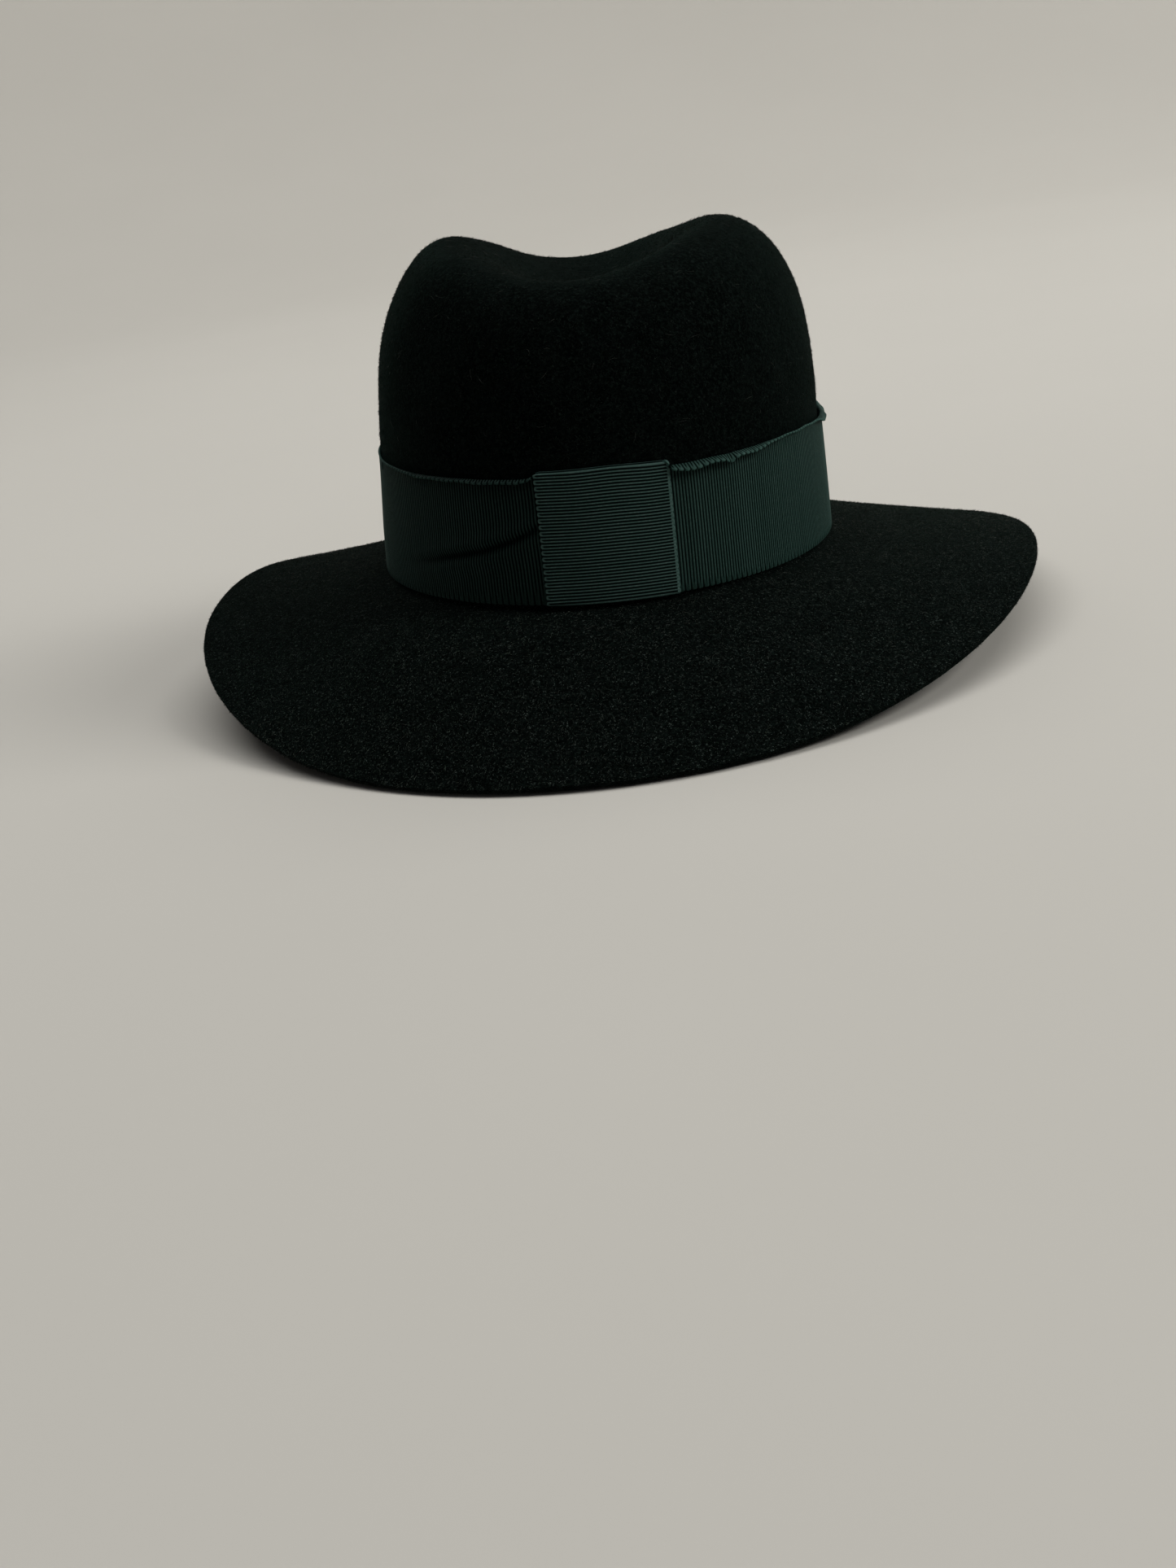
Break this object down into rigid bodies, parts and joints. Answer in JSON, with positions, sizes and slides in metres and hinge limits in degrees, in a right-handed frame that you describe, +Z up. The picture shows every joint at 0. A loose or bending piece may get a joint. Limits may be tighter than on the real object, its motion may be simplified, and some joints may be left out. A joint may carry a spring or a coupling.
{
  "type": "wide-brim felt fedora hat",
  "caption": "Wide-brim felt hat with a lengthwise creased crown, drooping raw-edge brim, grosgrain band with a flat tab, leather sweatband and satin lining.",
  "frame": {"origin": "middle of the hat's outline, on the table plane that the brim edge rests on", "axes": "+Z up from the table; -Y towards the ribbon tab end, along the crown crease; +X to the right seen from the tab end"},
  "size_m": [0.3172, 0.3418, 0.1542],
  "materials": {
    "felt": "very dark green fur felt with a short brushed nap",
    "ribbon": "dark teal green grosgrain, fine cross ribs, low sheen",
    "ribbon_thread": "sewing thread in the ribbon's colour",
    "leather": "smooth brown roan leather",
    "reed": "off-white plastic cord",
    "tape": "fine woven cotton tape",
    "seam_thread": "waxed tan thread",
    "bow_ribbon": "narrow satin ribbon",
    "size_tab": "plain woven cotton tab, no lettering",
    "lining": "dark green satin",
    "piping": "satin covered cord"
  },
  "bodies": {
    "root": {"felt_body": "felt", "ribbon_band": "ribbon", "ribbon_tab": "ribbon", "ribbon_tacks": "ribbon_thread", "sweatband": "leather", "sweatband_reed": "reed", "reed_tape": "tape", "sweatband_stitches": "seam_thread", "sweatband_bow": "bow_ribbon", "size_tab": "size_tab", "lining_side": "lining", "lining_tip": "lining", "lining_piping": "piping"}
  },
  "joints": []
}
